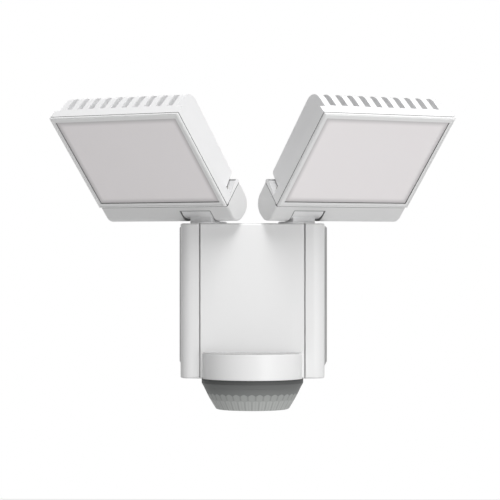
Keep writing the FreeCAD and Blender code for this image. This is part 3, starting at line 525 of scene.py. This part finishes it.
def sensor_grey():
    """Frosted grey plastic of the sensor: painted shade on the ring at its top, a plain cone, and two rows of
    facets with painted light on them and painted shade along their borders.
    """
    material, tree, shader = new_material(
        "sensor_grey", (0.2, 0.21, 0.205), 0.55, Specular_IOR_Level=0.15
    )
    step = math_steps(tree)
    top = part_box("main_housing")[0][2]
    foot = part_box("sensor_lens")[0][2]
    color = sensor_greys(tree, top, foot)
    for place, (drop, turn) in enumerate(FACET_ROWS):
        high = 300 - 300 * place
        facets = place_group(
            tree, FACET_ROW, (-600, high), Centre=(0.0, SENSOR_AXIS_Y, 0.0), Turn=turn,
            Row_Top=top - drop, Arch=FACET_ARCH, Softness=FACET_SOFTNESS,
        )
        for output, tone, share in FACET_LAYERS:
            mask = facets.outputs[output]
            if output == "Border":
                mask = step("MULTIPLY", (-450, high - 100), facets.outputs["Row"], mask)
            weight = step("MULTIPLY", (-350, high), mask, share)
            layer = add(tree, "ShaderNodeMix", (-200, high), data_type="RGBA")
            layer.inputs["B"].default_value = (*tone, 1.0)
            tree.links.new(weight, layer.inputs["Factor"])
            tree.links.new(color, layer.inputs["A"])
            color = layer.outputs["Result"]
    tree.links.new(color, shader.inputs["Base Color"])
    place_grain(tree, shader, (-400, -400), 0.6 * MM, 0.1, 0.03)
    return material


def plain_finish(name, color, hollow, roughness, metallic=0.0, grain_size=0.8 * MM):
    """A small piece's finish: rubber, plated steel, lacquered board, dark plastic or resin."""
    material, tree, shader = new_material(name, color, roughness, Metallic=metallic)
    tint, _ = finish_surface(tree, shader, color, hollow, 0.12, 0.6, (grain_size, 0.15, 0.02))
    vary_roughness(tree, shader, tint.outputs["Rub"], roughness - 0.08, roughness + 0.08)
    return material


# each finish's second colour is its painted shade in narrow gaps
FINISH = {
    "white_plastic": moulded_white("white_plastic", BODY_TONE),
    "white_coat": white_coat(),
    "sensor_grey": sensor_grey(),
    "black_rubber": plain_finish("black_rubber", (0.03, 0.03, 0.032), (0.015, 0.015, 0.015), 0.7),
    "zinc_steel": plain_finish(
        "zinc_steel", (0.55, 0.55, 0.53), (0.2, 0.2, 0.2), 0.35, 1.0, 0.4 * MM
    ),
    "circuit_board": plain_finish("circuit_board", (0.03, 0.16, 0.06), (0.01, 0.06, 0.02), 0.4),
    "led_yellow": plain_finish("led_yellow", (0.85, 0.62, 0.12), (0.5, 0.35, 0.05), 0.25),
    "dark_plastic": plain_finish("dark_plastic", (0.05, 0.055, 0.06), (0.02, 0.02, 0.02), 0.5),
}
HINGE_FINISH = {side: shaded_hinge_white(side) for side in SIDES}
PANE_FINISH = {side: frosted_pane(side) for side in SIDES}


def finish_of(node):
    """The material of a piece: its slot's, or its own side's for panes and hinge housings."""
    if SLOT_OF[node] == "frosted_pane":
        return PANE_FINISH[side_of(node)]
    if node.endswith("hinge_drum"):
        return HINGE_FINISH[side_of(node)]
    return FINISH[SLOT_OF[node]]


# ---------------------------------------------------------------- narrow gaps, for painted shade
GAP_REACH = 3.0 * MM
GAP_RAYS = 32
RAY_LIFT = 0.03 * MM
TRIANGLES_PER_FACE = 3


def rays_over_a_face():
    """Directions over the half sphere round +Z, denser towards the pole."""
    golden = pi * (3.0 - sqrt(5.0))
    rays = []
    for i in range(GAP_RAYS):
        spread = sqrt((i + 0.5) / GAP_RAYS)
        turn = golden * i
        rays.append(Vector((spread * cos(turn), spread * sin(turn), sqrt(1.0 - spread * spread))))
    return rays


def all_surfaces():
    """A search tree over the faces of every CAD piece."""
    corners, faces = [], []
    for obj in frame["nodes"].values():
        first = len(corners)
        corners += [corner.co.copy() for corner in obj.data.vertices]
        faces += [[first + i for i in face.vertices] for face in obj.data.polygons]
    return BVHTree.FromPolygons(corners, faces)


RAYS = rays_over_a_face()
SURFACES = all_surfaces()


def mark_gaps(shape):
    """Write on each face the share of directions that meet another surface close by, which sets its painted shade.
    """
    layer = shape.faces.layers.float.new(GAP_LAYER)
    pieces = {}
    for loops in shape.calc_loop_triangles():
        a, b, c = (loop.vert.co for loop in loops)
        area = (b - a).cross(c - a).length / 2
        pieces.setdefault(loops[0].face, []).append((area, (a + b + c) / 3))
    for face, parts in pieces.items():
        turn = face.normal.to_track_quat("Z", "Y")
        parts.sort(key=lambda part: -part[0])
        total, met = 0.0, 0.0
        for area, middle in parts[:TRIANGLES_PER_FACE]:
            start = middle + face.normal * RAY_LIFT
            found = (SURFACES.ray_cast(start, turn @ ray, GAP_REACH)[0] for ray in RAYS)
            hits = sum(place is not None for place in found)
            total += area
            met += area * hits / GAP_RAYS
        face[layer] = met / max(total, 1e-12)


def shade_ledge(shape, place, facing, share, least, depth):
    """Paint shade on the ledge through a point, on the faces near its plane that look its way."""
    layer = shape.faces.layers.float[GAP_LAYER]
    for face in shape.faces:
        level = (face.calc_center_median() - place).dot(facing)
        if face.normal.dot(facing) > least and abs(level) < depth:
            face[layer] = max(face[layer], share)


def soften_gaps(shape, place, reach, most):
    """Hold the shade of the gaps near a point down to this share."""
    layer = shape.faces.layers.float[GAP_LAYER]
    for face in shape.faces:
        if (face.calc_center_median() - place).length < reach:
            face[layer] = min(face[layer], most)


# ---------------------------------------------------------------- softened skins
SKIN_ROUNDING = {
    "main_housing": 0.35 * MM,
    "front_cover": 0.3 * MM,
    "wall_plate": 0.4 * MM,
    "sensor_ring": 0.25 * MM,
    "heatsink": 0.5 * MM,
    "bezel": 0.3 * MM,
    "hinge_drum": 0.35 * MM,
    "knuckle": 0.3 * MM,
    "diffuser": 0.2 * MM,
}
SHARP_EDGE = radians(26.0)
ROUND_SEGMENTS = 3
WELD = 0.002 * MM
FLAT_ANGLE = radians(0.5)

REAR_PART_Y = -27.0 * MM
REAR_ROUND = 2.0 * MM
REAR_ROUND_SEGMENTS = 5
VISOR_TOP = -40.2 * MM
LEDGE_BAND = 1.2 * MM

# where painted shade goes on a heatsink's toe and a hinge housing's foot, on the right head at rest, and mirrored
# for the left one
TOE = Vector((15.0, -85.0, 80.0)) * MM
TOE_FACING = Vector((0.49, -0.71, 0.51))
TOE_REACH = 14.0 * MM
TOE_GAP_MOST = 0.5
HINGE_FOOT = Vector((74.3, -53.0, 64.2)) * MM
HINGE_FOOT_FACING = Vector((0.44, -0.63, 0.64))


def mirrored(way, side):
    """A right-hand vector as it is on this side."""
    return Vector((-way.x, way.y, way.z)) if side == "left" else way


def round_rear_rim(shape):
    """A wider round along the front rim of the housing's rear part."""
    rim = [
        edge for edge in shape.edges
        if all(abs(corner.co.y - REAR_PART_Y) < 0.01 * MM for corner in edge.verts)
        and len(edge.link_faces) == 2 and edge.calc_face_angle_signed() > radians(45)
    ]
    bmesh.ops.bevel(
        shape, geom=rim, offset=REAR_ROUND, offset_type="OFFSET",
        segments=REAR_ROUND_SEGMENTS, profile=0.5, affect="EDGES",
    )


def shade_skin(node, shape):
    """Mark a skin's gaps for painted shade, and paint shade on the ledges that the studio light alone leaves too
    pale.
    """
    if node.endswith("knuckle"):
        return
    mark_gaps(shape)
    if node == "main_housing":
        round_rear_rim(shape)
        rim = Vector((0, REAR_PART_Y, 0))
        shade_ledge(shape, rim, Vector((0, -1, 0)), 0.6, 0.4, LEDGE_BAND)
    elif node == "front_cover":
        visor = Vector((0, 0, VISOR_TOP))
        shade_ledge(shape, visor, Vector((0, 0, 1)), 0.58, 0.4, LEDGE_BAND)
    elif node.endswith("heatsink"):
        toe = mirrored(TOE, side_of(node))
        facing = mirrored(TOE_FACING, side_of(node))
        soften_gaps(shape, toe, TOE_REACH, TOE_GAP_MOST)
        shade_ledge(shape, toe, facing, 0.49, 0.97, 2.0 * MM)
    elif node.endswith("hinge_drum"):
        foot = mirrored(HINGE_FOOT, side_of(node))
        facing = mirrored(HINGE_FOOT_FACING, side_of(node))
        shade_ledge(shape, foot, facing, 0.9, 0.3, 1.5 * MM)


def rounded_skin(node, width):
    """A copy of a CAD piece with its sharp edges rounded, standing for that piece."""
    mesh = frame["nodes"][node].data.copy()
    mesh.name = node + "_skin"
    if "custom_normal" in mesh.attributes:
        mesh.attributes.remove(mesh.attributes["custom_normal"])
    shape = bmesh.new()
    shape.from_mesh(mesh)
    bmesh.ops.remove_doubles(shape, verts=shape.verts, dist=WELD)
    bmesh.ops.dissolve_limit(shape, angle_limit=FLAT_ANGLE, verts=shape.verts, edges=shape.edges)
    shade_skin(node, shape)
    for face in shape.faces:
        face.smooth = True
    shape.to_mesh(mesh)
    shape.free()
    skin = bpy.data.objects.new(node + "_skin", mesh)
    bpy.context.scene.collection.objects.link(skin)
    mesh.materials.clear()
    mesh.materials.append(finish_of(node))
    rounding = skin.modifiers.new("rounded_edges", "BEVEL")
    rounding.width = width
    rounding.segments = ROUND_SEGMENTS
    rounding.limit_method = "ANGLE"
    rounding.angle_limit = SHARP_EDGE
    rounding.use_clamp_overlap = True
    rounding.harden_normals = True
    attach(skin, BODY_OF[node])
    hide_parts(node)


def dress_pieces():
    """Put a softened skin over each visible piece, and a finish on the others."""
    for node, obj in frame["nodes"].items():
        kind = node.removeprefix("left_").removeprefix("right_")
        if kind in SKIN_ROUNDING:
            rounded_skin(node, SKIN_ROUNDING[kind])
        else:
            obj.data.materials.clear()
            obj.data.materials.append(finish_of(node))


dress_pieces()


# ---------------------------------------------------------------- stage, lamps, camera
WHITE = (1.0, 1.0, 1.0, 1.0)
WORLD_LEVEL = 0.205
FLOOR_Z = -0.45
FLOOR_REACH = 3.0
FLOOR_WHITE = 0.8
PICTURE_SIDE = 500.0
FOCAL_PIXELS = 2539.4
AIM_PIXELS = (-35.57, -2.34)
SENSOR_WIDTH = 36.0
CAMERA_LENS = SENSOR_WIDTH * FOCAL_PIXELS / PICTURE_SIDE
CAMERA_PLACE = (0.02383, -1.8972, 0.0350)
CAMERA_AIM = Vector((AIM_PIXELS[0], FOCAL_PIXELS, AIM_PIXELS[1]))
MIDDLE = (0.0, -0.06, 0.02)


def seen_rays(tree, share, at):
    """This share for camera, glossy and transmission rays, and 0 for the light's own rays."""
    left, high = at
    step = math_steps(tree)
    rays = add(tree, "ShaderNodeLightPath", (left - 600, high + 300)).outputs
    seen = step("MAXIMUM", (left - 400, high + 250), rays["Is Camera Ray"], rays["Is Glossy Ray"])
    seen = step("MAXIMUM", (left - 200, high + 250), seen, rays["Is Transmission Ray"])
    return step("MULTIPLY", (left, high + 250), seen, share)


def build_world():
    """Even soft light that is seen as plain white."""
    world = bpy.data.worlds.new("studio_world")
    bpy.context.scene.world = world
    world.use_nodes = True
    tree = world.node_tree
    soft = tree.nodes["Background"]
    plain = add(tree, "ShaderNodeBackground", (0, -200))
    for background, strength in ((soft, WORLD_LEVEL), (plain, 1.0)):
        background.inputs["Color"].default_value = WHITE
        background.inputs["Strength"].default_value = strength
    mix = add(tree, "ShaderNodeMixShader", (250, 0))
    tree.links.new(seen_rays(tree, 1.0, (0, 0)), mix.inputs[0])
    tree.links.new(soft.outputs[0], mix.inputs[1])
    tree.links.new(plain.outputs[0], mix.inputs[2])
    tree.links.new(mix.outputs[0], tree.nodes["World Output"].inputs["Surface"])


def build_floor():
    """A wide pale floor under the light; it takes the shadow but stays white."""
    mesh = bpy.data.meshes.new("studio_floor")
    signs = ((-1, -1), (1, -1), (1, 1), (-1, 1))
    corners = [(x * FLOOR_REACH, y * FLOOR_REACH, FLOOR_Z) for x, y in signs]
    mesh.from_pydata(corners, [], [(0, 1, 2, 3)])
    floor = bpy.data.objects.new("studio_floor", mesh)
    bpy.context.scene.collection.objects.link(floor)
    material, tree, shader = new_material("studio_white", (0.9, 0.9, 0.9), 0.9)
    glow = add(tree, "ShaderNodeEmission", (0, -400))
    glow.inputs["Color"].default_value = WHITE
    mix = add(tree, "ShaderNodeMixShader", (300, -100))
    tree.links.new(seen_rays(tree, FLOOR_WHITE, (0, 200)), mix.inputs[0])
    tree.links.new(shader.outputs[0], mix.inputs[1])
    tree.links.new(glow.outputs[0], mix.inputs[2])
    tree.links.new(mix.outputs[0], tree.nodes["Material Output"].inputs["Surface"])
    mesh.materials.append(material)


def softbox(name, place, size, power):
    """A square soft lamp that looks at the middle of the light."""
    lamp = bpy.data.lights.new(name, "AREA")
    lamp.shape = "SQUARE"
    lamp.size = size
    lamp.energy = power
    holder = bpy.data.objects.new(name, lamp)
    bpy.context.scene.collection.objects.link(holder)
    holder.location = place
    holder.rotation_euler = (Vector(MIDDLE) - Vector(place)).to_track_quat("-Z", "Y").to_euler()


def build_camera():
    """Level camera in front of the light, with the photograph's view of it."""
    camera = bpy.data.cameras.new("front_camera")
    camera.sensor_width = SENSOR_WIDTH
    camera.lens = CAMERA_LENS
    camera.clip_start = 0.05
    camera.clip_end = 20.0
    holder = bpy.data.objects.new("front_camera", camera)
    bpy.context.scene.collection.objects.link(holder)
    holder.location = CAMERA_PLACE
    holder.rotation_euler = CAMERA_AIM.to_track_quat("-Z", "Y").to_euler()
    bpy.context.scene.camera = holder


build_world()
build_floor()
softbox("overhead_softbox", (0.15, -0.9, 1.6), 0.7, 23.3)
softbox("side_softbox", (1.0, -1.7, -0.1), 0.6, 9.0)
softbox("upper_softbox", (0.9, -0.2, 1.3), 0.8, 4.4)
build_camera()
bpy.context.scene.view_settings.view_transform = "Standard"
